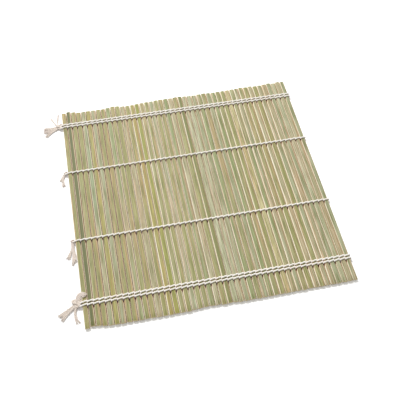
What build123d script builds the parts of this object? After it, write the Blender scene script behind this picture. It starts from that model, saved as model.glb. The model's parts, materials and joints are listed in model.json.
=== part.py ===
"""A sushi rolling mat: split bamboo slats laid side by side and twined together by cotton cords.

Millimetres. X runs along the cords, Y along the slats and +Z up from the table.
The origin is on the table, under the middle of the middle slat.
"""
from build123d import *
from math import pi, radians, sin, sqrt, tan
import os

os.makedirs("parts", exist_ok=True)

# Slats of split bamboo
slat_count = 47
slat_length = 240.0
slat_width = 3.9
slat_thickness = 1.7
edge_bevel = 0.4
end_unevenness = 1.0

# Cotton cord
cord_diameter = 1.0
cord_clearance = 0.07
crossing_gap = 0.5
worn_flat_share = 0.1

# Rows of twining, as shares of half a slat's length from the middle, at the left and right edges
row_shares = {
    "far": (0.875, 0.846),
    "mid_far": (0.362, 0.342),
    "mid_near": (-0.280, -0.294),
    "near": (-0.789, -0.800),
}
pair_spacing = 3.0
paired_rows = ("far", "near")

# Knots at the left edge: the cords' own ends pulled tight, then left as tails
knot_lead = 1.1
knot_core_radius = 1.2
knot_wrap_radius = 1.3
wraps_per_cord = 2
wrap_slope_share = 0.3

# Tails on the table, as points across it from the middle of their knot
tails_on_table = {
    "far": (
        ((-3.6, 0.4), (-9.0, -0.8), (-15.4, 1.0)),
        ((-3.4, -1.2), (-8.6, -3.0), (-15.6, -6.6)),
        ((-2.8, -2.0), (-6.4, -5.2), (-10.8, -9.0)),
        ((-3.0, 1.6), (-5.6, 6.0), (-7.4, 13.0)),
    ),
    "mid_far": (
        ((-2.6, -2.2), (-3.6, -7.0), (-1.6, -13.4)),
        ((-3.4, -1.2), (-5.4, -4.6), (-5.0, -9.4)),
    ),
    "mid_near": (
        ((-2.8, -2.4), (-4.2, -8.6), (-3.8, -16.8)),
        ((-1.6, -3.2), (-1.8, -11.0), (-0.9, -21.0)),
    ),
    "near": (
        ((-3.8, -0.8), (-9.6, -2.0), (-17.0, -5.6)),
        ((-3.2, -2.0), (-7.4, -6.2), (-12.6, -12.0)),
        ((-1.4, -3.6), (-2.6, -8.8), (-1.4, -15.2)),
    ),
}

# The near knot's last tail lies up over the edge of the first slat, so its points have heights
# above the middle of the knot too
raised_tails = {"near": ((0.2, 2.6, 0.9), (1.0, 5.2, 1.5), (4.4, 8.6, 1.45))}

# How far each slat's far and near ends stand out, as shares of end_unevenness
far_end_shares = (
    1.0, 2.1, 0.8, -0.6, -0.6, -0.6, -0.7, -0.8, -1.0, -0.3, 0.6, 0.0,
    -1.2, -1.5, -1.4, -0.9, -0.6, -0.3, -0.3, 0.1, 0.3, 0.2, 0.0, 0.4,
    0.4, -0.2, -0.6, -0.9, -0.4, -0.2, -0.6, -1.0, -0.9, -0.8, -0.8, -0.4,
    -0.3, 0.1, -0.4, 0.0, -0.8, -0.7, -0.3, 0.3, -0.7, 0.3, -0.3,
)
near_end_shares = (
    -1.0, -2.3, -1.8, -0.8, -0.3, 0.0, 0.1, 0.0, 0.1, 0.2, 0.0, 0.1,
    0.3, 0.4, 0.5, 0.3, 0.3, 0.5, -0.3, -0.5, -0.8, -0.8, -0.7, 0.0,
    -0.4, -0.2, 0.3, 0.4, 0.3, 0.5, 0.4, 0.4, 0.3, 0.3, 0.4, 0.2,
    0.2, 0.5, 0.1, 0.2, 0.3, 0.1, 0.2, 0.3, 0.2, 0.1, 0.0,
)

# Places that follow from the sizes above
cord_radius = cord_diameter / 2
cord_reach = cord_radius + cord_clearance
slat_gap = 2 * cord_reach
pitch = slat_width + slat_gap
mat_width = slat_count * pitch - slat_gap
left_edge = -mat_width / 2
cord_low = cord_radius - worn_flat_share * cord_diameter
slat_bottom = cord_low + cord_reach
slat_top = slat_bottom + slat_thickness
cord_high = slat_top + cord_reach
crossing_offset = (cord_diameter + crossing_gap) / 2
knot_height = (cord_low + cord_high) / 2
knot_reach = knot_wrap_radius + cord_reach
knot_x = left_edge - knot_lead - knot_reach

# The arc that just clears a bevelled edge: a wider bevel lets the cord turn more gently
bevel_arc = cord_reach + edge_bevel / (2 - sqrt(2))
arc_share = 0.45


def share_of(shares, index):
    """A slat's own share, from a table that starts again if there are more slats than entries."""
    return shares[index % len(shares)]


def gap_x(index):
    """Middle of the gap to the right of the slat with this number, counted from 1."""
    return left_edge + index * pitch - slat_gap / 2


def row_y(row, second, x):
    """Where a row's first or second cord lies at this place along the mat."""
    left_share, right_share = row_shares[row]
    along = (x - left_edge) / mat_width
    first = slat_length / 2 * (left_share + (right_share - left_share) * along)
    return first - pair_spacing * second


def knot_end(y, height):
    """Where a cord that leaves the first slat at this height, heading for its knot's middle, ends."""
    corner = Vector(left_edge, y, height)
    return corner + (Vector(knot_x, y, knot_height) - corner) * knot_lead / (knot_lead + knot_reach)


def cord_points(row, second):
    """The route of one cord: from its knot over and under by turns, round the last slat, and back."""
    last_gap = slat_count - 1
    left_y = row_y(row, second, left_edge)

    def crossing(index, going_down):
        x = gap_x(index)
        y = row_y(row, second, x) + (crossing_offset if going_down else -crossing_offset)
        heights = (cord_high, cord_low) if going_down else (cord_low, cord_high)
        return [Vector(x, y, height) for height in heights]

    upper_y, lower_y = left_y - crossing_offset, left_y + crossing_offset
    out = [knot_end(upper_y, cord_high), Vector(left_edge, upper_y, cord_high)]
    for index in range(1, slat_count):
        out += crossing(index, going_down=index % 2 == 1)
    back = [knot_end(lower_y, cord_low), Vector(left_edge, lower_y, cord_low)]
    for index in range(1, slat_count):
        back += crossing(index, going_down=index % 2 == 0)
    fold_x = gap_x(last_gap) + slat_gap / 2 + slat_width + cord_reach
    fold_y = row_y(row, second, fold_x)
    fold = [Vector(fold_x, fold_y, end.Z) for end in (out[-1], back[-1])]
    return out + fold + back[::-1]


def rounded_route(points, widest_arc):
    """Straight runs through the points, joined by tangent arcs. Returns the edges and the arcs' radii.

    Goes along the route once, so that several hundred corners stay quick to round.
    """
    edges, radii = [], []
    here = points[0]
    for before, corner, after in zip(points, points[1:], points[2:]):
        back, on = before - corner, after - corner
        half_turn = radians(180 - back.get_angle(on)) / 2
        radius = min(widest_arc, arc_share * min(back.length, on.length) / tan(half_turn))
        start = corner + back.normalized() * radius * tan(half_turn)
        end = corner + on.normalized() * radius * tan(half_turn)
        bulge = radius / sin(pi / 2 - half_turn) - radius
        middle = corner + (back.normalized() + on.normalized()).normalized() * bulge
        edges.append(Edge.make_line(here, start))
        edges.append(Edge.make_three_point_arc(start, middle, end))
        radii.append(radius)
        here = end
    edges.append(Edge.make_line(here, points[-1]))
    return edges, radii


def least_gap(edges):
    """The least distance between the surfaces of the cord's two passes, read at points along them."""
    half = len(edges) // 2
    sample_shares = (0.0, 0.25, 0.5, 0.75)
    out = [edge.position_at(share) for edge in edges[: half - 1] for share in sample_shares]
    back = [edge.position_at(share) for edge in edges[half + 2:] for share in sample_shares]
    back.sort(key=lambda point: point.X)
    nearest, first = mat_width, 0
    for point in sorted(out, key=lambda point: point.X):
        while back[first].X < point.X - pitch:
            first += 1
        for other in back[first:]:
            if other.X > point.X + pitch:
                break
            nearest = min(nearest, (other - point).length)
    return nearest - cord_diameter


# Slats: straight splits with flat faces and bevelled long edges, each a little longer or shorter
for number in range(1, slat_count + 1):
    far_end = slat_length / 2 + end_unevenness * share_of(far_end_shares, number - 1)
    near_end = -slat_length / 2 - end_unevenness * share_of(near_end_shares, number - 1)
    middle_x = gap_x(number) - slat_gap / 2 - slat_width / 2
    middle_height = (slat_bottom + slat_top) / 2
    near_plane = Plane((middle_x, near_end, middle_height), x_dir=(1, 0, 0), z_dir=(0, 1, 0))
    with BuildPart() as slat:
        with BuildSketch(near_plane) as slat_section:
            Rectangle(slat_width, slat_thickness)
            chamfer(slat_section.vertices(), edge_bevel)
        extrude(amount=far_end - near_end)
    name = f"slat_{number:02d}"
    slat.part.label = name
    export_step(slat.part, f"parts/{name}.step")

# Cords: each one tube from the knot round the last slat and back, worn flat where it lies on the table
cord_names = {}
for row in row_shares:
    if row in paired_rows:
        cord_names[f"cord_{row}_outer"] = (row, 0 if row == "far" else 1)
        cord_names[f"cord_{row}_inner"] = (row, 1 if row == "far" else 0)
    else:
        cord_names[f"cord_{row}"] = (row, 0)

for name, (row, second) in cord_names.items():
    points = cord_points(row, second)
    edges, radii = rounded_route(points, bevel_arc)
    with BuildPart() as cord:
        with BuildSketch(Plane(points[0], z_dir=points[1] - points[0])):
            Circle(cord_radius)
        sweep(path=Wire(edges))
        swept_volume = cord.part.volume
        split(bisect_by=Plane.XY, keep=Keep.TOP)
    length = sum(edge.length for edge in edges)
    print(
        f"{name}: {length:.0f} mm long, arcs of {min(radii):.2f} to {max(radii):.2f} mm,",
        f"volume over section times length {swept_volume / (pi * cord_radius**2 * length):.4f},",
        f"least gap to itself {least_gap(edges):.2f} mm",
    )
    cord.part.label = name
    export_step(cord.part, f"parts/{name}.step")

# Knots: a tight core ridged by its wraps, stubs that meet the cords' ends, and the tails
for row in row_shares:
    cords = 2 if row in paired_rows else 1
    ends = [row_y(row, second, left_edge) for second in range(cords)]
    middle = Vector(knot_x, sum(ends) / cords, knot_height)
    core_length = pair_spacing * (cords - 1) + 2 * (crossing_offset + cord_reach)
    wraps = cords * wraps_per_cord
    wrap_width = core_length / wraps
    ridge_radius = knot_wrap_radius + cord_radius
    outline = [(0, -core_length / 2)]
    for index in range(wraps):
        low = wrap_width * index - core_length / 2
        outline += [
            (knot_core_radius, low),
            (ridge_radius, low + wrap_width * wrap_slope_share),
            (ridge_radius, low + wrap_width * (1 - wrap_slope_share)),
        ]
    outline += [(knot_core_radius, core_length / 2), (0, core_length / 2)]
    tail_routes = [
        [middle] + [Vector(middle.X + x, middle.Y + y, cord_low) for x, y in tail]
        for tail in tails_on_table[row]
    ]
    if row in raised_tails:
        tail_routes.append([middle] + [middle + Vector(*point) for point in raised_tails[row]])
    with BuildPart() as knot:
        with BuildSketch(Plane(middle, x_dir=(0, 0, 1), z_dir=(-1, 0, 0))):
            with BuildLine():
                Polyline(*outline, close=True)
            make_face()
        revolve(axis=Axis(middle, (0, 1, 0)))
        for y in ends:
            for strand_y, height in ((y - crossing_offset, cord_high), (y + crossing_offset, cord_low)):
                end = knot_end(strand_y, height)
                with BuildSketch(Plane(end, z_dir=Vector(knot_x, strand_y, knot_height) - end)):
                    Circle(cord_radius)
                extrude(amount=knot_reach)
        for route in tail_routes:
            tail_edges, tail_radii = rounded_route(route, slat_length)
            with BuildSketch(Plane(route[0], z_dir=route[1] - route[0])):
                Circle(cord_radius)
            sweep(path=Wire(tail_edges))
        split(bisect_by=Plane.XY, keep=Keep.TOP)
    name = f"knot_{row}"
    knot.part.label = name
    export_step(knot.part, f"parts/{name}.step")
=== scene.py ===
"""A sushi rolling mat: bamboo slats twined with cotton cord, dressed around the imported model.

Metres, in the model's own frame: +X runs along the cords, +Y along the slats away from the user, and
+Z up from the table. Real sizes are written in millimetres, as a number times mm.
"""
import json
import math
import random

import bmesh
import bpy
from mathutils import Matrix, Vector, geometry, noise


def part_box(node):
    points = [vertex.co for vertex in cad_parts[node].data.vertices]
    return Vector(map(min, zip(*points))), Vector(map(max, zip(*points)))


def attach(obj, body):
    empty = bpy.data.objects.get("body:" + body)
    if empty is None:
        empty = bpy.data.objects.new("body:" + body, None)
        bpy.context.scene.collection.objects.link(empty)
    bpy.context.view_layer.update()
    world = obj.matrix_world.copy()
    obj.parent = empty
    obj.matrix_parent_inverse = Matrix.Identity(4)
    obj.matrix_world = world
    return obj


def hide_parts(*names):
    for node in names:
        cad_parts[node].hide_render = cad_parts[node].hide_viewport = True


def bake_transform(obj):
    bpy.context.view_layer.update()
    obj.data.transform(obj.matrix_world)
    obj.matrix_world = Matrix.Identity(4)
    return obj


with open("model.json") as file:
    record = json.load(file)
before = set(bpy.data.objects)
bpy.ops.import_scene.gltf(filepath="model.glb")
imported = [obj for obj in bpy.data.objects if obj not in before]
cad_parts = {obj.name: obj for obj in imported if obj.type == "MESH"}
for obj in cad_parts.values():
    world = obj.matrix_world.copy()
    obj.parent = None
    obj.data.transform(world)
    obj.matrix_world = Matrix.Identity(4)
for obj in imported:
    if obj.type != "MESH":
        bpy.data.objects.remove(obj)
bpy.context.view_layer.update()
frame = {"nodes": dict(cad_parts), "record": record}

# The slats: flat splits of bamboo, cut along the grain from the wall of the culm. The upper face
# keeps the culm's green skin, and the sides and the underside are bare pale wood. They lie edge to
# edge, and only the twist of the cords in each gap holds them.
mm = 0.001
body_of_node = {
    node_name: body
    for body, node_names in frame["record"]["behaviour"]["bodies"].items()
    for node_name in node_names
}
slat_names = sorted(name for name in frame["nodes"] if name.startswith("slat_"))
slat_boxes = [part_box(name) for name in slat_names]
slat_middles = [(low.x + high.x) / 2 for low, high in slat_boxes]
gap_middles = [(left[1].x + right[0].x) / 2 for left, right in zip(slat_boxes, slat_boxes[1:])]
cord_names = sorted(name for name in frame["nodes"] if name.startswith("cord_"))
cord_boxes = {name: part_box(name) for name in cord_names}

# How far a cord's solid reaches to either side of the middle of its row
cord_reach = 1.25 * mm

# How unevenly the slats are split: how far the groove between two of them lies to one side, how far
# and over what length it wanders, the same for the thickness, and how far a slat leans and twists
groove_seed, groove_shift_limit = 1000, 0.20 * mm
groove_shifts = [
    random.Random(groove_seed + groove).uniform(-groove_shift_limit, groove_shift_limit)
    for groove in range(len(slat_names))
]
groove_wander, groove_wander_length = 0.16 * mm, 60 * mm
thickness_wander, thickness_wander_length, thickness_noise_height = 0.04 * mm, 30 * mm, 5
lean_limit = math.radians(2.0)

# How the ends are cut: how far out of square, and how long and how much slimmer their eased edge is
cut_slant = 0.25 * mm
eased_end, eased_end_size = 0.15 * mm, 0.93
ring_spacing = 5 * mm

# Half the slit that is left between two slats. The first ones are tied a little further apart
tight_half_slit, loose_half_slit = 0.08 * mm, 0.11 * mm
loosely_tied = 14

# The second slat was tied in tilted, with its right edge up
tilted_slats = {2: math.radians(5.0)}

# Where the cords press the slats apart: how far the dent reaches on the near and the far side of a
# row, how far the slats' lower edges part on the near side, and where a slat's form needs rings
near_bite, far_bite = 3.3 * mm, 1.1 * mm
near_opening = 1.9 * mm
rings_at_row = (-4.6, -3.9, -3.3, -2.7, -2.0, -1.4, -0.7, 0.0, 0.4, 0.8, 1.2, 1.8)

# The section of a slat, as shares of half its width and half its thickness, from its upper left
# corner round to the left side. The first five points carry the skin. The sides widen downwards, so
# that a groove shows between two slats, pale on the left side of a slat and painted a shaded brown on
# the right, which faces away from the light. With each point, how far the skin's edge turns brown
# there, partly from rubbing and partly as painted shade, and how much painted shade the bare wood takes.
slat_section = (
    (-0.86, 0.97, 0.30, 0.0),
    (-0.42, 1.05, 0.00, 0.0),
    (0.00, 1.08, 0.00, 0.0),
    (0.45, 1.05, 0.00, 0.0),
    (0.86, 0.97, 0.90, 0.0),
    (0.90, 0.80, 1.00, 0.2),
    (0.93, 0.45, 1.00, 0.9),
    (1.00, -0.70, 1.00, 0.4),
    (0.93, -1.00, 1.00, 0.1),
    (0.00, -0.96, 1.00, 0.0),
    (-0.93, -1.00, 1.00, 0.1),
    (-1.00, -0.70, 1.00, 0.4),
    (-0.96, 0.00, 1.00, 0.1),
    (-0.91, 0.62, 1.00, 0.0),
)

# How many of the points carry the skin, and from where a point is on a side, on a lower edge, which
# keeps closer to its neighbour, or on the underside
skin_points = 5
side_from, lower_edge_from, underside_from = 0.85, -0.5, -0.9

# The first slats' sides take painted brown shade all along: up to which slat, and how much
browner_sides, side_shades = 13, (0.05, 0.50)

# The bare wood that was left beside the skin when the split edges were trimmed, as a share of half
# the width: more on a slat's left side, except on the first slats, and none on the right from the
# middle of the mat
left_bevels, right_bevels = (0.02, 0.28), (0.05, 0.17)
well_trimmed, well_trimmed_share, no_right_bevel_from = 12, 0.45, 22

# Each culm dries to its own green, so neighbours differ: the colours of its skin, its streaks and its
# faded stretches. Then the culm of each slat, from the knotted edge
skin_colours = {
    "pale": ("#afaf8a", "#c7c7a6", "#cab99a"),
    "grey": ("#9a9d77", "#b2b592", "#c2ad8e"),
    "blue": ("#909c74", "#aab38f", "#b8ab86"),
    "green": ("#8a9661", "#a2ab7c", "#b8a480"),
    "olive": ("#949355", "#aeac78", "#b69d70"),
    "dark": ("#6f743d", "#8a8c54", "#948c5a"),
    "shaded": ("#40480f", "#555d20", "#6d662f"),
    "ochre": ("#a49640", "#aea868", "#b48c4c"),
    "yellow": ("#919434", "#a2a450", "#a99a54"),
    "beige": ("#a8a07a", "#c0b896", "#c6aa88"),
    "straw": ("#bbaf74", "#cfc698", "#ceb084"),
    "drab": ("#93915e", "#aba878", "#b9a074"),
    "moss": ("#918e50", "#a8a46c", "#b69b66"),
}
slat_skins = (
    "moss shaded olive moss blue ochre grey olive moss green olive moss "
    "beige moss ochre yellow drab olive grey olive drab green beige olive "
    "dark pale pale grey green drab grey green drab olive straw green "
    "grey drab olive beige olive grey beige grey pale beige grey"
).split()


def linear(hex_colour):
    """A colour written as sRGB hex, as the linear colour that a shader takes."""
    shares = [int(hex_colour[start:start + 2], 16) / 255 for start in (1, 3, 5)]
    return [s / 12.92 if s <= 0.04045 else ((s + 0.055) / 1.055) ** 2.4 for s in shares] + [1.0]


def add(tree, kind, values=(), take=0, **settings):
    """Adds a node with its settings, and gives back the output asked for.

    Values go to its inputs, by name or number, as plain values or as other nodes' outputs.
    """
    made = tree.nodes.new("ShaderNode" + kind)
    for name, value in settings.items():
        setattr(made, name, value)
    for name, value in dict(values).items():
        if isinstance(value, bpy.types.NodeSocket):
            tree.links.new(value, made.inputs[name])
        else:
            made.inputs[name].default_value = value
    return made.outputs[take] if made.outputs else None


def new_material(name):
    """An empty material and its node tree."""
    material = bpy.data.materials.new(name)
    material.use_nodes = True
    material.node_tree.nodes.clear()
    return material, material.node_tree


def grain(tree, width, length, detail):
    """Streaks of about this width and length in metres, along the slats, as a value of 0 to 1."""
    place = add(tree, "TexCoord", take="Object")
    place = add(tree, "Mapping", {"Vector": place, "Scale": (1 / width, 1 / length, 1 / width)})
    return add(tree, "TexNoise", {"Vector": place, "Scale": 1.0, "Detail": detail})


def bamboo_skin(name, skin, streak, faded):
    """The culm's own skin, dried: a silky green, banded along the grain and warm brown at its edges, partly
    from rubbing and partly as painted shade, most on the right edge, which faces away from the light.
    """
    material, tree = new_material(f"dried bamboo skin, {name}")
    # Real fibres are about 0.2 mm apart. They are drawn coarser, because finer ones would not show
    fibres = grain(tree, 0.45 * mm, 22 * mm, 3.0)
    bands = grain(tree, 0.80 * mm, 70 * mm, 3.0)
    stretches = grain(tree, 1.60 * mm, 90 * mm, 2.0)
    banding = add(tree, "MapRange", {"Value": bands, "From Min": 0.42, "From Max": 0.60})
    colour = add(tree, "MixRGB", {"Fac": banding, "Color1": linear(skin), "Color2": linear(streak)})
    fading = add(tree, "MapRange", {"Value": stretches, "From Min": 0.51, "From Max": 0.63})
    colour = add(tree, "MixRGB", {"Fac": fading, "Color1": colour, "Color2": linear(faded)})
    shading = add(tree, "MapRange", {"Value": fibres, "From Min": 0.34, "From Max": 0.57})
    colour = add(tree, "MixRGB", {"Fac": shading, "Color1": linear("#6c6c38"), "Color2": colour})
    # Painted shade: the skin's edges turn a warm brown in patches, partly from rubbing, and most on the
    # right edge, which faces away from the light
    worn_and_shaded = add(tree, "Attribute", take="Fac", attribute_name="edge wear")
    patches = add(tree, "MapRange", {"Value": stretches, "From Min": 0.36, "From Max": 0.60})
    worn_and_shaded = add(tree, "Math", {0: worn_and_shaded, 1: patches}, operation="MULTIPLY")
    colour = add(tree, "MixRGB", {"Fac": worn_and_shaded, "Color1": colour, "Color2": linear("#ab8a5c")})
    height = add(tree, "MixRGB", {"Fac": 0.5, "Color1": fibres, "Color2": bands})
    bump = add(tree, "Bump", {"Height": height, "Distance": 0.04 * mm, "Strength": 0.6})
    shine = add(tree, "MapRange", {"Value": fibres, "To Min": 0.66, "To Max": 0.50})
    surface = add(tree, "BsdfPrincipled", {
        "Base Color": colour, "Roughness": shine, "IOR": 1.5, "Normal": bump,
    })
    add(tree, "OutputMaterial", {"Surface": surface})
    return material


def split_bamboo():
    """Bare wood, split along the grain: dry and cream with brown fibres, with painted brown shade in the
    grooves and near-black painted shadow beside the cords.
    """
    material, tree = new_material("bare bamboo, split")
    fibres = grain(tree, 0.22 * mm, 16 * mm, 3.0)
    streaks = grain(tree, 0.9 * mm, 60 * mm, 2.0)
    banding = add(tree, "MapRange", {"Value": streaks, "From Min": 0.35, "From Max": 0.65})
    colour = add(tree, "MixRGB", {"Fac": banding, "Color1": linear("#f8f0d8"), "Color2": linear("#eadebb")})
    threads = add(tree, "MapRange", {"Value": fibres, "From Min": 0.62, "From Max": 0.76})
    colour = add(tree, "MixRGB", {"Fac": threads, "Color1": colour, "Color2": linear("#c08a58")})
    # Painted shade: brown deep in the grooves and on a slat's right side, which faces away from the light
    painted_shade = add(tree, "Attribute", take="Fac", attribute_name="painted_shade")
    brown_shade = add(tree, "MapRange", {"Value": painted_shade, "From Min": 0.15, "From Max": 0.70})
    colour = add(tree, "MixRGB", {"Fac": brown_shade, "Color1": colour, "Color2": linear("#a4561a")})
    # Near-black painted shadow in the slits beside the cords, where they press the slats apart
    painted_shadow = add(tree, "MapRange", {"Value": painted_shade, "From Min": 0.95, "From Max": 1.45})
    colour = add(tree, "MixRGB", {"Fac": painted_shadow, "Color1": colour, "Color2": linear("#2b1d08")})
    bump = add(tree, "Bump", {"Height": fibres, "Distance": 0.06 * mm, "Strength": 0.7})
    surface = add(tree, "BsdfPrincipled", {
        "Base Color": colour, "Roughness": 0.78, "IOR": 1.5, "Normal": bump,
    })
    add(tree, "OutputMaterial", {"Surface": surface})
    return material


def sawn_bamboo():
    """The sawn end grain: rough cream wood dotted with the darker ends of the fibre bundles."""
    material, tree = new_material("bamboo end grain, sawn")
    place = add(tree, "TexCoord", take="Object")
    bundles = add(tree, "TexVoronoi", {"Vector": place, "Scale": 1 / (0.45 * mm)})
    dots = add(tree, "MapRange", {"Value": bundles, "From Min": 0.18, "From Max": 0.42})
    colour = add(tree, "MixRGB", {"Fac": dots, "Color1": linear("#9b7b4c"), "Color2": linear("#dfcfa2")})
    bump = add(tree, "Bump", {"Height": bundles, "Distance": 0.05 * mm, "Strength": 0.5})
    surface = add(tree, "BsdfPrincipled", {
        "Base Color": colour, "Roughness": 0.85, "IOR": 1.5, "Normal": bump,
    })
    add(tree, "OutputMaterial", {"Surface": surface})
    return material


def new_piece(name, form, materials):
    """A mesh object made from a bmesh, with its materials."""
    mesh = bpy.data.meshes.new(name)
    form.to_mesh(mesh)
    form.free()
    for material in materials:
        mesh.materials.append(material)
    piece = bpy.data.objects.new(name, mesh)
    bpy.context.scene.collection.objects.link(piece)
    return piece


def row_y(cord_name, x):
    """Where a cord's middle lies at this place along the mat, read from the ends of its CAD solid."""
    low, high = cord_boxes[cord_name]
    along = (x - slat_boxes[0][0].x) / (slat_boxes[-1][1].x - slat_boxes[0][0].x)
    return (high.y - cord_reach) + (low.y - high.y + 2 * cord_reach) * along


def bite(y, rows, near_reach):
    """How far the cords press a slat's edge in at this place along it, from 0 to 1."""
    return max(math.exp(-((y - row) / (far_bite if y > row else near_reach)) ** 4) for row in rows)


def side_x(number, y, bitten, right):
    """Where a slat's side lies: along the groove beside it, or where a cord presses against it."""
    low, high = slat_boxes[number - 1]
    cad_side = high.x if right else low.x
    groove = number if right else number - 1
    wander = noise.noise(Vector((groove, y / groove_wander_length, 0)))
    if groove in (0, len(slat_names)):
        return cad_side + (-1 if right else 1) * groove_wander * (0.5 + wander) * (1 - bitten)
    free_side = gap_middles[groove - 1] + groove_shifts[groove] + groove_wander * wander
    half_slit = loose_half_slit if groove <= loosely_tied else tight_half_slit
    free_side += -half_slit if right else half_slit
    return free_side + (cad_side - free_side) * bitten


def slat_form(number, low, high):
    """One slat in the place of its CAD solid: a slightly crowned strip whose edges wander."""
    draw = random.Random(number)
    middle_z, half_thickness = (low.z + high.z) / 2, (high.z - low.z) / 2
    lean, twist = draw.uniform(-lean_limit, lean_limit), draw.uniform(-lean_limit, lean_limit)
    lean = tilted_slats.get(number, lean)
    slants = [draw.uniform(-cut_slant, cut_slant) for end in (0, 1)]
    left_bevel = draw.uniform(*left_bevels) * (1.0 if number > well_trimmed else well_trimmed_share)
    right_bevel = draw.uniform(*right_bevels) if number < no_right_bevel_from else 0
    brown_shade = draw.uniform(*side_shades) if number <= browner_sides else 0
    rows = [row_y(cord, (low.x + high.x) / 2) for cord in cord_names]
    near, far = low.y + eased_end, high.y - eased_end
    steps = round((far - near) / ring_spacing)
    places = {near + (far - near) * step / steps for step in range(steps + 1)}
    places |= {row + offset * mm for row in rows for offset in rings_at_row}
    places = sorted(places)
    form = bmesh.new()
    wear_and_shade = form.verts.layers.float.new("edge wear")
    painted_shade = form.verts.layers.float.new("painted_shade")

    def ring(y, end_share, size=1.0):
        bitten, parted = bite(y, rows, near_bite), bite(y, rows, near_opening)
        upper_sides = [side_x(number, y, bitten, right) for right in (False, True)]
        lower_sides = [side_x(number, y, parted, right) for right in (False, True)]
        noise_place = Vector((number, y / thickness_wander_length, thickness_noise_height))
        thicker = thickness_wander * noise.noise(noise_place)
        turn = lean + twist * ((y - low.y) / (high.y - low.y) - 0.5)
        points = []
        for index, (across, up, worn_and_shaded, shade_amount) in enumerate(slat_section):
            # On the sides, painted shade: the first slats' brown, and near-black painted shadow where a
            # cord presses in
            if abs(across) > side_from and index >= skin_points and up > underside_from:
                shade_amount = max(shade_amount, brown_shade) + bitten
            across += left_bevel if index == 0 else -right_bevel if index == skin_points - 1 else 0
            left, right = upper_sides if up > lower_edge_from else lower_sides
            x = across * (right - left) / 2 * size
            z = up * half_thickness * size + (thicker if up > 0 else 0)
            point = form.verts.new((
                (left + right) / 2 + x * math.cos(turn) - z * math.sin(turn),
                y + end_share * across,
                middle_z + x * math.sin(turn) + z * math.cos(turn),
            ))
            point[wear_and_shade], point[painted_shade] = worn_and_shaded, shade_amount
            points.append(point)
        return points

    rings = [ring(low.y, slants[0], eased_end_size)]
    for y in places:
        rings.append(ring(y, slants[0] if y == places[0] else slants[1] if y == places[-1] else 0))
    rings.append(ring(high.y, slants[1], eased_end_size))
    count = len(slat_section)
    for before, after in zip(rings, rings[1:]):
        for index in range(count):
            following = (index + 1) % count
            face = form.faces.new((before[index], before[following], after[following], after[index]))
            face.smooth = True
            face.material_index = 0 if 0 < following < skin_points else 1
    for face in (form.faces.new(rings[0][::-1]), form.faces.new(rings[-1])):
        face.material_index = 2
    for edge in form.edges:
        edge.smooth = len({face.material_index for face in edge.link_faces}) == 1
    return form


skins = {name: bamboo_skin(name, *colours) for name, colours in skin_colours.items()}
split_face = split_bamboo()
sawn_end = sawn_bamboo()
for number, (name, (low, high), skin) in enumerate(zip(slat_names, slat_boxes, slat_skins), 1):
    form = slat_form(number, low, high)
    slat = new_piece(f"bamboo_{name}", form, (skins[skin], split_face, sawn_end))
    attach(slat, body_of_node[name])
    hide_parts(name)

# The cords: soft cotton string of three plies, one length to a cord. Its two halves go over and under
# the slats by turns and cross in every gap, where the slats squeeze them, and it is folded round the
# last slat. Each gap's crossings are one piece.
cord_radius = 0.72 * mm
crossing_offset = 0.48 * mm
plies, ply_groove_share, points_per_ply = 3, 0.12, 4
strand_turn = 2 * math.tau
rings_per_span = 12

# How much flatter a squeezed cord is, within what height of the crossing, and how squeezed a fold is
squeeze_share, squeeze_reach, fold_squeeze = 0.20, 1.1 * mm, 0.3

# The heights of a cord's middle under a slat, over it, and where its two halves cross
below_solid_top, above_middle = 0.44 * mm, 0.35 * mm
cord_low = 0.4 * mm
cord_high = cord_boxes[cord_names[0]][1].z - below_solid_top
cord_mid = (cord_low + cord_high) / 2
crossing_height = cord_mid + above_middle

# How a cord bends from a slat into a gap: how long it stays level, as a share of the way, and how long
# it stays upright
level_share, upright_length = 0.86, 1.15 * mm


def cotton(name, shaded_hollow, fibre, soiled):
    """Unbleached cotton, spun: matt and cream, with painted shade that makes the hollows between its fibres
    a little darker.
    """
    material, tree = new_material(name)
    place = add(tree, "TexCoord", take="Object")
    # Real fibres are about 0.02 mm thick. Their fuzz is drawn coarser, because it would not show
    fuzz = add(tree, "TexNoise", {"Vector": place, "Scale": 1 / (0.25 * mm), "Detail": 4.0})
    soiling = add(tree, "TexNoise", {"Vector": place, "Scale": 1 / (9 * mm), "Detail": 2.0})
    # Painted shade: where the fuzz's bump is low, the colour is darker
    raised = add(tree, "MapRange", {"Value": fuzz, "From Min": 0.30, "From Max": 0.62})
    colour = add(tree, "MixRGB", {"Fac": raised, "Color1": linear(shaded_hollow), "Color2": linear(fibre)})
    dirt = add(tree, "MapRange", {"Value": soiling, "From Min": 0.50, "From Max": 0.80})
    colour = add(tree, "MixRGB", {"Fac": dirt, "Color1": colour, "Color2": linear(soiled)})
    bump = add(tree, "Bump", {"Height": fuzz, "Distance": 0.04 * mm, "Strength": 0.5})
    surface = add(tree, "BsdfPrincipled", {
        "Base Color": colour, "Roughness": 0.9, "IOR": 1.5, "Sheen Weight": 0.25, "Normal": bump,
    })
    add(tree, "OutputMaterial", {"Surface": surface})
    return material


def heading(line, index):
    """Which way a line runs at one of its points."""
    ahead, behind = line[min(index + 1, len(line) - 1)], line[max(index - 1, 0)]
    return (ahead - behind).normalized()


def tube(form, rings):
    """Joins rings of points with smooth faces, and closes both ends."""
    for before, after in zip(rings, rings[1:]):
        for corner in range(len(before)):
            following = (corner + 1) % len(before)
            face = form.faces.new((before[corner], before[following], after[following], after[corner]))
            face.smooth = True
    form.faces.new(rings[0][::-1])
    form.faces.new(rings[-1])


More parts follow.
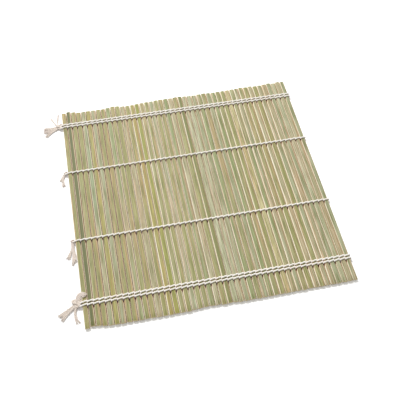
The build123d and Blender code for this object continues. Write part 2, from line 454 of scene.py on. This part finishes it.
def strand(form, line, squeezes):
    """A plied string along a line: a lobed section that turns as it goes, flat where it is squeezed."""
    count = plies * points_per_ply
    rings = []
    for index, point in enumerate(line):
        along = heading(line, index)
        across = (Vector((0, 1, 0)) - along * along.y).normalized()
        outward = along.cross(across)
        spin = strand_turn * index / (len(line) - 1)
        flat = squeeze_share * squeezes[index]
        ring = []
        for corner in range(count):
            angle = 2 * math.pi * corner / count
            lobe = abs(math.cos(plies / 2 * (angle - spin)))
            radius = cord_radius * (1 - ply_groove_share * (1 - lobe))
            place = point + across * (radius * math.sin(angle) * (1 + flat))
            place += outward * (radius * math.cos(angle) * (1 - flat))
            place.z = max(place.z, 0)
            ring.append(form.verts.new(place))
        rings.append(ring)
    tube(form, rings)


def span_line(start, end, pull, slant):
    """The smooth half turn of a cord from its height over or under a slat down or up into the gap."""
    handle = start + Vector((math.copysign(pull, end.x - start.x), slant, 0))
    into_gap = end + Vector((0, 0, math.copysign(upright_length, start.z - end.z)))
    return geometry.interpolate_bezier(start, handle, into_gap, end, rings_per_span + 1)


def crossing(form, cord_name, gap, over_left):
    """One strand of a cord through one gap, from the middle of one slat to the middle of the next."""
    heights = (cord_high, cord_low) if over_left else (cord_low, cord_high)
    side = crossing_offset if over_left else -crossing_offset
    middle = Vector((gap_middles[gap], row_y(cord_name, gap_middles[gap]) + side, crossing_height))
    left_x, right_x = slat_middles[gap], slat_middles[gap + 1]
    left = Vector((left_x, row_y(cord_name, left_x), heights[0]))
    right = Vector((right_x, row_y(cord_name, right_x), heights[1]))
    pull = level_share * (middle.x - left.x)
    # The over strand runs from the near side to the far side of its row, the under strand back again
    slants = [crossing_offset * (1 if height == cord_high else -1) for height in heights]
    first = span_line(left, middle, pull, slants[0])
    second = span_line(right, middle, pull, -slants[1])
    line = first + second[-2::-1]
    squeezes = [max(0.0, 1 - abs(point.z - crossing_height) / squeeze_reach) for point in line]
    strand(form, line, squeezes)


string = cotton("unbleached cotton string", "#faf2e6", "#fffdf8", "#fbf0e4")
for gap in range(len(gap_middles)):
    form = bmesh.new()
    for cord_name in cord_names:
        crossing(form, cord_name, gap, True)
        crossing(form, cord_name, gap, False)
    piece = new_piece(f"cords_in_gap_{gap + 1:02d}", form, (string,))
    middle = Vector((gap_middles[gap], 0, cord_mid))
    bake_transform(piece)

# The cords' folds: each cord is one length of string, doubled back round the last slat. Nothing
# else holds that slat.
form = bmesh.new()
last_x, last_edge = slat_middles[-1], slat_boxes[-1][1].x
for cord_name in cord_names:
    y = row_y(cord_name, last_x)
    over, under = Vector((last_x, y, cord_high)), Vector((last_x, y, cord_low))
    fold = Vector((last_edge + cord_radius, y, cord_mid))
    pull = level_share * (fold.x - last_x)
    down = span_line(over, fold, pull, 0)
    up = span_line(under, fold, pull, 0)
    line = down + up[-2::-1]
    strand(form, line, [fold_squeeze] * len(line))
piece = new_piece("cord_folds_at_last_slat", form, (string,))
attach(piece, body_of_node[slat_names[-1]])

# The cords' ends: the two halves of each cord leave the first slat, one over it and one under it,
# and run together into their knot.
beyond_cord_solids = 1.6 * mm
leaving_length, arriving_length, arriving_slope = 2.4 * mm, 1.6 * mm, 0.7
form = bmesh.new()
first_x, first_edge = slat_middles[0], slat_boxes[0][0].x
knot_x = cord_boxes[cord_names[0]][0].x - beyond_cord_solids
for cord_name in cord_names:
    y = row_y(cord_name, first_edge)
    for height, side in ((cord_high, -1), (cord_low, 1)):
        start = Vector((first_x, row_y(cord_name, first_x), height))
        end = Vector((knot_x, y + side * crossing_offset, cord_mid))
        slant = -crossing_offset if height == cord_high else crossing_offset
        handle = start + Vector((-leaving_length, slant, 0))
        arrival = end + Vector((arriving_length, 0, (height - cord_mid) * arriving_slope))
        line = geometry.interpolate_bezier(start, handle, arrival, end, 2 * rings_per_span)
        strand(form, line, [0] * len(line))
piece = new_piece("cord_ends_at_first_slat", form, (string,))
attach(piece, body_of_node[slat_names[0]])
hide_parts(*cord_names)

# The knots: each row's cord ends are tied in an overhand knot against the first slat and cut long.
# The tails have untwisted and frayed into their plies, and lie loose on the table. Places are in
# millimetres from where the cords meet, and heights are above the table.
loose_cotton = cotton("untwisted cotton ends", "#cdbeb0", "#ece1d5", "#d9c8bf")

# For each knot: its cords, where its middle lies, how large its loops are and how thick its strand is,
# one loop for each cord with its share of that size, the tails and how thick their plies are, and
# which pairs of tails have loose fibres between them
knots = {
    "knot_far": {
        "cords": ("cord_far_outer", "cord_far_inner"),
        "middle": (0.0, 1.2), "size": 1.00, "strand": 0.95 * mm, "turns": (1.0, 0.62),
        "tails": (
            ((-3.6, 2.0, 0.8), (-9.0, 1.6, 0.7), (-15.6, 1.8, 0.7)),
            ((-3.4, 0.2, 0.8), (-8.6, -1.2, 0.7), (-15.8, -2.4, 0.7)),
            ((-3.0, -1.2, 0.8), (-8.0, -3.6, 0.7), (-14.4, -8.4, 0.7)),
        ),
        "thin_tails": (
            ((-3.0, 3.4, 1.0), (-5.6, 8.4, 0.8), (-8.6, 14.9, 0.5)),
            ((-2.4, 4.6, 1.0), (-1.9, 12.0, 0.8), (-0.4, 19.0, 0.5)),
        ),
        "tail_ply": 0.44 * mm, "brushes": ((0, 1), (1, 2)),
    },
    "knot_mid_far": {
        "cords": ("cord_mid_far",),
        "middle": (0.8, 0.8), "size": 0.55, "strand": 0.70 * mm, "turns": (1.0,),
        "tails": (
            ((-1.6, 0.2, 1.0), (-2.4, -2.8, 0.8), (-4.8, -6.4, 0.7)),
            ((-0.9, -1.0, 0.9), (-2.9, -7.0, 0.8), (-2.1, -13.0, 0.7)),
        ),
        "thin_tails": (), "tail_ply": 0.40 * mm, "brushes": ((0, 1),),
    },
    "knot_mid_near": {
        "cords": ("cord_mid_near",),
        "middle": (0.4, 0.6), "size": 0.50, "strand": 0.75 * mm, "turns": (1.0,),
        "tails": (
            ((-0.6, -2.0, 1.0), (-0.7, -7.6, 0.8), (-4.8, -15.6, 0.7)),
            ((0.1, -2.4, 1.0), (0.0, -9.4, 0.8), (-0.5, -21.6, 0.7)),
            ((0.7, -2.4, 1.4), (0.6, -9.6, 1.2), (2.1, -19.2, 1.0)),
        ),
        "thin_tails": (), "tail_ply": 0.40 * mm, "brushes": (),
    },
    "knot_near": {
        "cords": ("cord_near_outer", "cord_near_inner"),
        "middle": (-0.9, 2.2), "size": 1.40, "strand": 1.25 * mm, "turns": (1.0, 0.6),
        "tails": (
            ((-5.2, -0.4, 1.1), (-10.8, -3.4, 0.9), (-16.8, -7.0, 0.8)),
            ((-4.4, -1.9, 1.1), (-9.6, -5.6, 0.9), (-14.8, -10.8, 0.8)),
            ((-3.6, -4.2, 0.9), (-4.0, -9.8, 0.8), (-2.0, -15.6, 0.7)),
            ((0.0, 5.8, 3.0), (2.0, 9.4, 3.7), (5.2, 9.0, 3.8), (6.6, 6.6, 3.6)),
            ((1.0, 5.0, 3.0), (2.7, 7.8, 3.7), (4.6, 7.6, 3.8), (5.6, 5.6, 3.6)),
            ((-1.4, 4.8, 2.6), (0.2, 8.2, 3.5), (3.4, 9.8, 3.7), (5.0, 8.4, 3.7)),
        ),
        "thin_tails": (), "tail_ply": 0.58 * mm, "brushes": ((0, 1), (3, 4), (3, 5)),
    },
}
knot_seed = 100
yarn_sides = 8

# The knot's own strand: its steps along the knot, how deep it weaves, and how its plies lie in it
knot_steps, weave_depth = 90, 0.62 * mm
ply_share, ply_offset_share, ply_turns_in_knot = 0.56, 0.50, 3

# A tail's plies: how unevenly they start, the length in which they turn once round each other and the
# share of the tail that they do so for, and how far from its middle they lie aside and upward
ply_scatter, ply_lay, twisted_share = 0.3, 7.0 * mm, 0.7
ply_aside, ply_upward = 0.9, 0.45

# How a tail frays: from what share of its length, how far and how fast its plies spread, and how much
# of their height and thickness they lose
whole_share, spreads, spread_power = 0.40, (0.5 * mm, 1.2 * mm), 1.4
height_lost, thickness_lost = 0.7, 0.35

# A tail's stray fibres: how many, how far aside they start and stray, how fast, how high they start,
# how far they reach past the tip, as shares of a step, and their radius. Here and below, the fibres
# are drawn thicker than real ones, which would not show
fibres_per_tail, fibre_aside, fibre_stray, fibre_power = 12, 0.6, 1.6, 1.5
fibre_height, fibre_overshoots, fibre_radius = 0.25 * mm, (0.3, 1.2), 0.12 * mm

# A thin tail: its radius and how much of that it loses, and the fibres round it
thin_radius, thin_radius_lost = 0.54 * mm, 0.5
thin_tail_fibres, thin_stray, thin_fibre_height, thin_fibre_radius = 6, 0.9, 0.15 * mm, 0.15 * mm

# A brush of fibres between two tails: how many, from and up to what share of the tails they run, how
# far they lie up or down and stray, which way, in how many steps, the least step and number of points
# that make one, and their radius
fibres_per_brush, brush_starts, brush_ends = 44, (0.12, 0.40), (0.82, 1.0)
brush_lift, brush_stray, brush_sway = 0.35, 0.6, Vector((0.3, 1, 0))
brush_steps, least_step, least_points, brush_fibre_radius = 12, 0.2 * mm, 4, 0.19 * mm


def smooth_line(points):
    """The smooth line that a string takes through these places, as points close together."""
    data = bpy.data.curves.new("route", "CURVE")
    data.dimensions = "3D"
    data.resolution_u = 8
    spline = data.splines.new("NURBS")
    spline.points.add(len(points) - 1)
    for target, point in zip(spline.points, points):
        target.co = (*point, 1)
    spline.order_u = 3
    spline.use_endpoint_u = True
    route = bpy.data.objects.new("route", data)
    bpy.context.scene.collection.objects.link(route)
    line = bpy.data.meshes.new_from_object(route)
    places = [vertex.co.copy() for vertex in line.vertices]
    bpy.data.objects.remove(route)
    bpy.data.curves.remove(data)
    bpy.data.meshes.remove(line)
    return places


def yarn(form, line, radii):
    """A round yarn along a line, with its own radius at each point."""
    rings = []
    across = None
    for index, (point, radius) in enumerate(zip(line, radii)):
        along = heading(line, index)
        across = across or along.orthogonal()
        across = (across - along * along.dot(across)).normalized()
        outward = along.cross(across)
        ring = []
        for corner in range(yarn_sides):
            angle = 2 * math.pi * corner / yarn_sides
            place = point + (across * math.cos(angle) + outward * math.sin(angle)) * radius
            place.z = max(place.z, 0)
            ring.append(form.verts.new(place))
        rings.append(ring)
    tube(form, rings)


def along_tail(points):
    """A tail's smooth line: its places, the ways across and up from it there, and the length so far."""
    line = smooth_line(points)
    places = []
    length = 0.0
    for index, (point, ahead) in enumerate(zip(line, line[1:] + line[-1:])):
        along = heading(line, index)
        across = Vector((0, 0, 1)).cross(along).normalized()
        places.append((point, across, along.cross(across), length))
        length += (ahead - point).length
    return places


def frayed_tail(form, points, ply_radius, draw):
    """A loose end: soft plies that lie flat and part near the tip, with stray fibres among them."""
    places = along_tail(points)
    whole = places[-1][3]
    for ply in range(plies):
        phase = 2 * math.pi * ply / plies + draw.uniform(-ply_scatter, ply_scatter)
        spread = draw.uniform(*spreads)
        path, radii = [], []
        for point, across, upward, length in places:
            frayed = max(0.0, length / whole - whole_share) / (1 - whole_share)
            angle = phase + 2 * math.pi * min(length, whole * twisted_share) / ply_lay
            reach = ply_aside * ply_radius + spread * frayed ** spread_power
            lift = ply_upward * ply_radius * (1 - height_lost * frayed)
            path.append(point + across * math.cos(angle) * reach + upward * math.sin(angle) * lift)
            radii.append(ply_radius * (1 - thickness_lost * frayed))
        yarn(form, path, radii)
    for fibre in range(fibres_per_tail):
        # Each leaves the plies somewhere in the middle third of the tail
        first = draw.randrange(len(places) // 3, 2 * len(places) // 3)
        aside = draw.uniform(-fibre_aside, fibre_aside) * mm
        stray = draw.uniform(-fibre_stray, fibre_stray) * mm
        path = []
        for point, across, upward, length in places[first:]:
            frayed = (length - places[first][3]) / (whole - places[first][3])
            sideways = across * (aside + stray * frayed ** fibre_power)
            path.append(point + sideways + upward * fibre_height * (1 - frayed))
        tip = path[-1] - path[-2]
        path.append(path[-1] + tip * draw.uniform(*fibre_overshoots))
        yarn(form, path, [fibre_radius] * len(path))


def thin_tail(form, points, draw):
    """A single ply that has come away and runs out thin, with a few fibres round it."""
    places = along_tail(points)
    whole = places[-1][3]
    line = [place[0] for place in places]
    radii = [thin_radius * (1 - thin_radius_lost * place[3] / whole) for place in places]
    yarn(form, line, radii)
    for fibre in range(thin_tail_fibres):
        stray = draw.uniform(-thin_stray, thin_stray) * mm
        path = [
            point + across * stray * (length / whole) + upward * thin_fibre_height
            for point, across, upward, length in places
        ]
        yarn(form, path, [thin_fibre_radius] * len(path))


def brush(form, first_line, second_line, draw):
    """The loose fibres that fill the space between two frayed tails that lie side by side."""
    for fibre in range(fibres_per_brush):
        between, start, end = draw.random(), draw.uniform(*brush_starts), draw.uniform(*brush_ends)
        lift = draw.uniform(-brush_lift, brush_lift) * mm
        stray = draw.uniform(-brush_stray, brush_stray) * mm
        path = []
        for step in range(brush_steps + 1):
            along = start + (end - start) * step / brush_steps
            first = first_line[round(along * (len(first_line) - 1))]
            second = second_line[round(along * (len(second_line) - 1))]
            sway = brush_sway * stray * math.sin(math.pi * step / brush_steps)
            point = first.lerp(second, between) + sway + Vector((0, 0, lift))
            if not path or (point - path[-1]).length > least_step:
                path.append(point)
        if len(path) >= least_points:
            yarn(form, path, [brush_fibre_radius] * len(path))


def overhand_knot(form, middle, knot):
    """The knot itself: a strand of three plies along a trefoil, pulled tight, once for each cord."""
    loop = []
    for step in range(knot_steps + 1):
        t = 2 * math.pi * step / knot_steps
        x, y = math.sin(t) + 2 * math.sin(2 * t), math.cos(t) - 2 * math.cos(2 * t)
        size = knot["size"] * mm
        loop.append(Vector((x * size, y * size, -math.sin(3 * t) * weave_depth)))
    for turn_size in knot["turns"]:
        for ply in range(plies):
            path = []
            for step, point in enumerate(loop):
                angle = 2 * math.pi * (ply / plies + ply_turns_in_knot * step / knot_steps)
                aside = Vector((math.cos(angle), 0, math.sin(angle))) * ply_offset_share * knot["strand"]
                path.append(middle + point * turn_size + aside)
            yarn(form, path, [ply_share * knot["strand"]] * len(path))


for number, (name, knot) in enumerate(knots.items()):
    draw = random.Random(knot_seed + number)
    row = sum(row_y(cord, first_edge) for cord in knot["cords"]) / len(knot["cords"])
    meeting = Vector((knot_x, row, 0))
    middle = meeting + Vector((knot["middle"][0] * mm, knot["middle"][1] * mm, cord_mid))
    form = bmesh.new()
    overhand_knot(form, middle, knot)
    routes = [[middle] + [meeting + Vector(place) * mm for place in tail] for tail in knot["tails"]]
    for route in routes:
        frayed_tail(form, route, knot["tail_ply"], draw)
    for tail in knot["thin_tails"]:
        thin_tail(form, [middle] + [meeting + Vector(place) * mm for place in tail], draw)
    for first, second in knot["brushes"]:
        brush(form, smooth_line(routes[first]), smooth_line(routes[second]), draw)
    piece = new_piece(f"cotton_{name}", form, (loose_cotton,))
    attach(piece, body_of_node[name])
    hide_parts(name)

# The table: a white studio floor that keeps the mat's soft shadow. What the camera sees of it, itself
# or in a gloss, is white, and its light on the mat is that of pale grey paint.
floor_reach, below_table = 3.0, 0.02 * mm


def shows_background(tree):
    """1 for a ray that shows the background, from the camera or through a gloss or glass, else 0."""
    seen = add(tree, "LightPath", take="Is Camera Ray")
    for name in ("Is Glossy Ray", "Is Transmission Ray"):
        seen = add(tree, "Math", {0: seen, 1: add(tree, "LightPath", take=name)}, operation="ADD")
    return seen


floor_form = bmesh.new()
bmesh.ops.create_grid(floor_form, x_segments=1, y_segments=1, size=floor_reach)
floor_paint, tree = new_material("matt floor paint, rolled")
place = add(tree, "TexCoord", take="Object")
mottle = add(tree, "TexNoise", {"Vector": place, "Scale": 1 / (40 * mm)})
paint = add(tree, "MixRGB", {"Fac": mottle, "Color1": linear("#e3e3e3"), "Color2": linear("#e8e8e8")})
# Further out the lamp's light falls off, and the white has to be stronger to stay white
distance = add(tree, "VectorMath", {0: place}, take="Value", operation="LENGTH")
white = add(tree, "MapRange", {
    "Value": distance, "From Min": 0.3, "From Max": 2.0, "To Min": 1.25, "To Max": 2.6,
})
paint = add(tree, "MixRGB", {"Fac": shows_background(tree), "Color1": paint, "Color2": white})
add(tree, "OutputMaterial", {"Surface": add(tree, "BsdfDiffuse", {"Color": paint})})
floor = new_piece("studio_floor", floor_form, (floor_paint,))
floor.location.z = -below_table

# The light: one large soft lamp beyond the far left corner, and an even white room whose walls show
# white behind the mat
lamp_data = bpy.data.lights.new("window", "AREA")
lamp_data.shape = "SQUARE"
lamp_data.size = 0.9
lamp_data.energy = 62.0
lamp = bpy.data.objects.new("window", lamp_data)
lamp.location = (-0.55, 1.70, 2.05)
lamp.rotation_euler = (-lamp.location).to_track_quat("-Z", "Y").to_euler()
bpy.context.scene.collection.objects.link(lamp)
room = bpy.data.worlds.new("white room")
room.use_nodes = True
room.node_tree.nodes.clear()
room_level = add(room.node_tree, "MapRange", {"Value": shows_background(room.node_tree), "To Min": 0.50})
walls = add(room.node_tree, "Background", {"Color": (1.0, 1.0, 1.0, 1.0), "Strength": room_level})
add(room.node_tree, "OutputWorld", {"Surface": walls})
bpy.context.scene.world = room

# The camera: a long lens above the mat's near edge, where the photograph was taken from. Its place was
# worked out from the mat's four corners.
camera_data = bpy.data.cameras.new("camera")
camera_data.lens = 58.16
camera_data.sensor_width = 36.0
camera = bpy.data.objects.new("camera", camera_data)
camera.location = (-65.8 * mm, -345.5 * mm, 501.9 * mm)
camera.rotation_euler = [math.radians(angle) for angle in (34.230, 0.126, -11.452)]
bpy.context.scene.collection.objects.link(camera)
bpy.context.scene.camera = camera
bpy.context.scene.view_settings.view_transform = "Standard"
